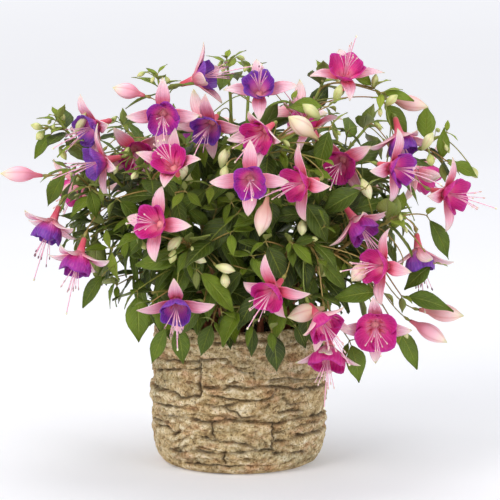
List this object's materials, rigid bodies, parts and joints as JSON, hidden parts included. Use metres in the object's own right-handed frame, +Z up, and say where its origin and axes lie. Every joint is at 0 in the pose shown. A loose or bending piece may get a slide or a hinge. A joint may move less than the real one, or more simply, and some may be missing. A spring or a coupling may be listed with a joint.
{
  "type": "potted fuchsia in a round cast-stone planter",
  "caption": "Bushy fuchsia with arching leafy stems and hanging pink and violet flowers, standing in a round planter cast like stacked stone.",
  "frame": {"origin": "centre of the planter's flat base, on the surface it stands on", "axes": "+Z up; the side shown in the picture faces -Y; +X is to its right"},
  "size_m": [0.4828, 0.4177, 0.4354],
  "materials": {
    "planter_stone": "rough cast",
    "soil": "crumbly",
    "leafy_stem": "semi-gloss leaf",
    "calyx": "satin petal",
    "corolla_violet": "satin petal",
    "corolla_purple": "satin petal",
    "corolla_magenta": "satin petal"
  },
  "bodies": {
    "root": {"planter": "planter_stone", "potting_soil": "soil", "stem_left_low": "leafy_stem", "stem_left_high": "leafy_stem", "stem_left_top": "leafy_stem", "stem_front_left": "leafy_stem", "stem_front_low": "leafy_stem", "stem_front_mid": "leafy_stem", "stem_top": "leafy_stem", "stem_front_right": "leafy_stem", "stem_right_low": "leafy_stem", "stem_right_high": "leafy_stem", "stem_right_top": "leafy_stem", "stem_back_left": "leafy_stem", "stem_back_mid": "leafy_stem", "stem_back_right": "leafy_stem", "bloom_01_calyx": "calyx", "bloom_02_calyx": "calyx", "bloom_03_calyx": "calyx", "bloom_04_calyx": "calyx", "bloom_05_calyx": "calyx", "bloom_06_calyx": "calyx", "bloom_07_calyx": "calyx", "bloom_08_calyx": "calyx", "bloom_09_calyx": "calyx", "bloom_10_calyx": "calyx", "bloom_11_calyx": "calyx", "bloom_12_calyx": "calyx", "bloom_13_calyx": "calyx", "bloom_14_calyx": "calyx", "bloom_15_calyx": "calyx", "bloom_16_calyx": "calyx", "bloom_17_calyx": "calyx", "bloom_18_calyx": "calyx", "bloom_19_calyx": "calyx", "bloom_20_calyx": "calyx", "bloom_21_calyx": "calyx", "bloom_22_calyx": "calyx", "bloom_01_corolla": "corolla_purple", "bloom_02_corolla": "corolla_violet", "bloom_03_corolla": "corolla_violet", "bloom_04_corolla": "corolla_purple", "bloom_05_corolla": "corolla_magenta", "bloom_06_corolla": "corolla_violet", "bloom_07_corolla": "corolla_magenta", "bloom_08_corolla": "corolla_magenta", "bloom_09_corolla": "corolla_magenta", "bloom_10_corolla": "corolla_magenta", "bloom_11_corolla": "corolla_magenta", "bloom_12_corolla": "corolla_violet", "bloom_13_corolla": "corolla_magenta", "bloom_14_corolla": "corolla_purple", "bloom_15_corolla": "corolla_magenta", "bloom_16_corolla": "corolla_violet", "bloom_17_corolla": "corolla_violet", "bloom_18_corolla": "corolla_magenta", "bloom_19_corolla": "corolla_magenta", "bloom_20_corolla": "corolla_purple", "bloom_21_corolla": "corolla_magenta", "bloom_22_corolla": "corolla_violet"}
  },
  "joints": []
}
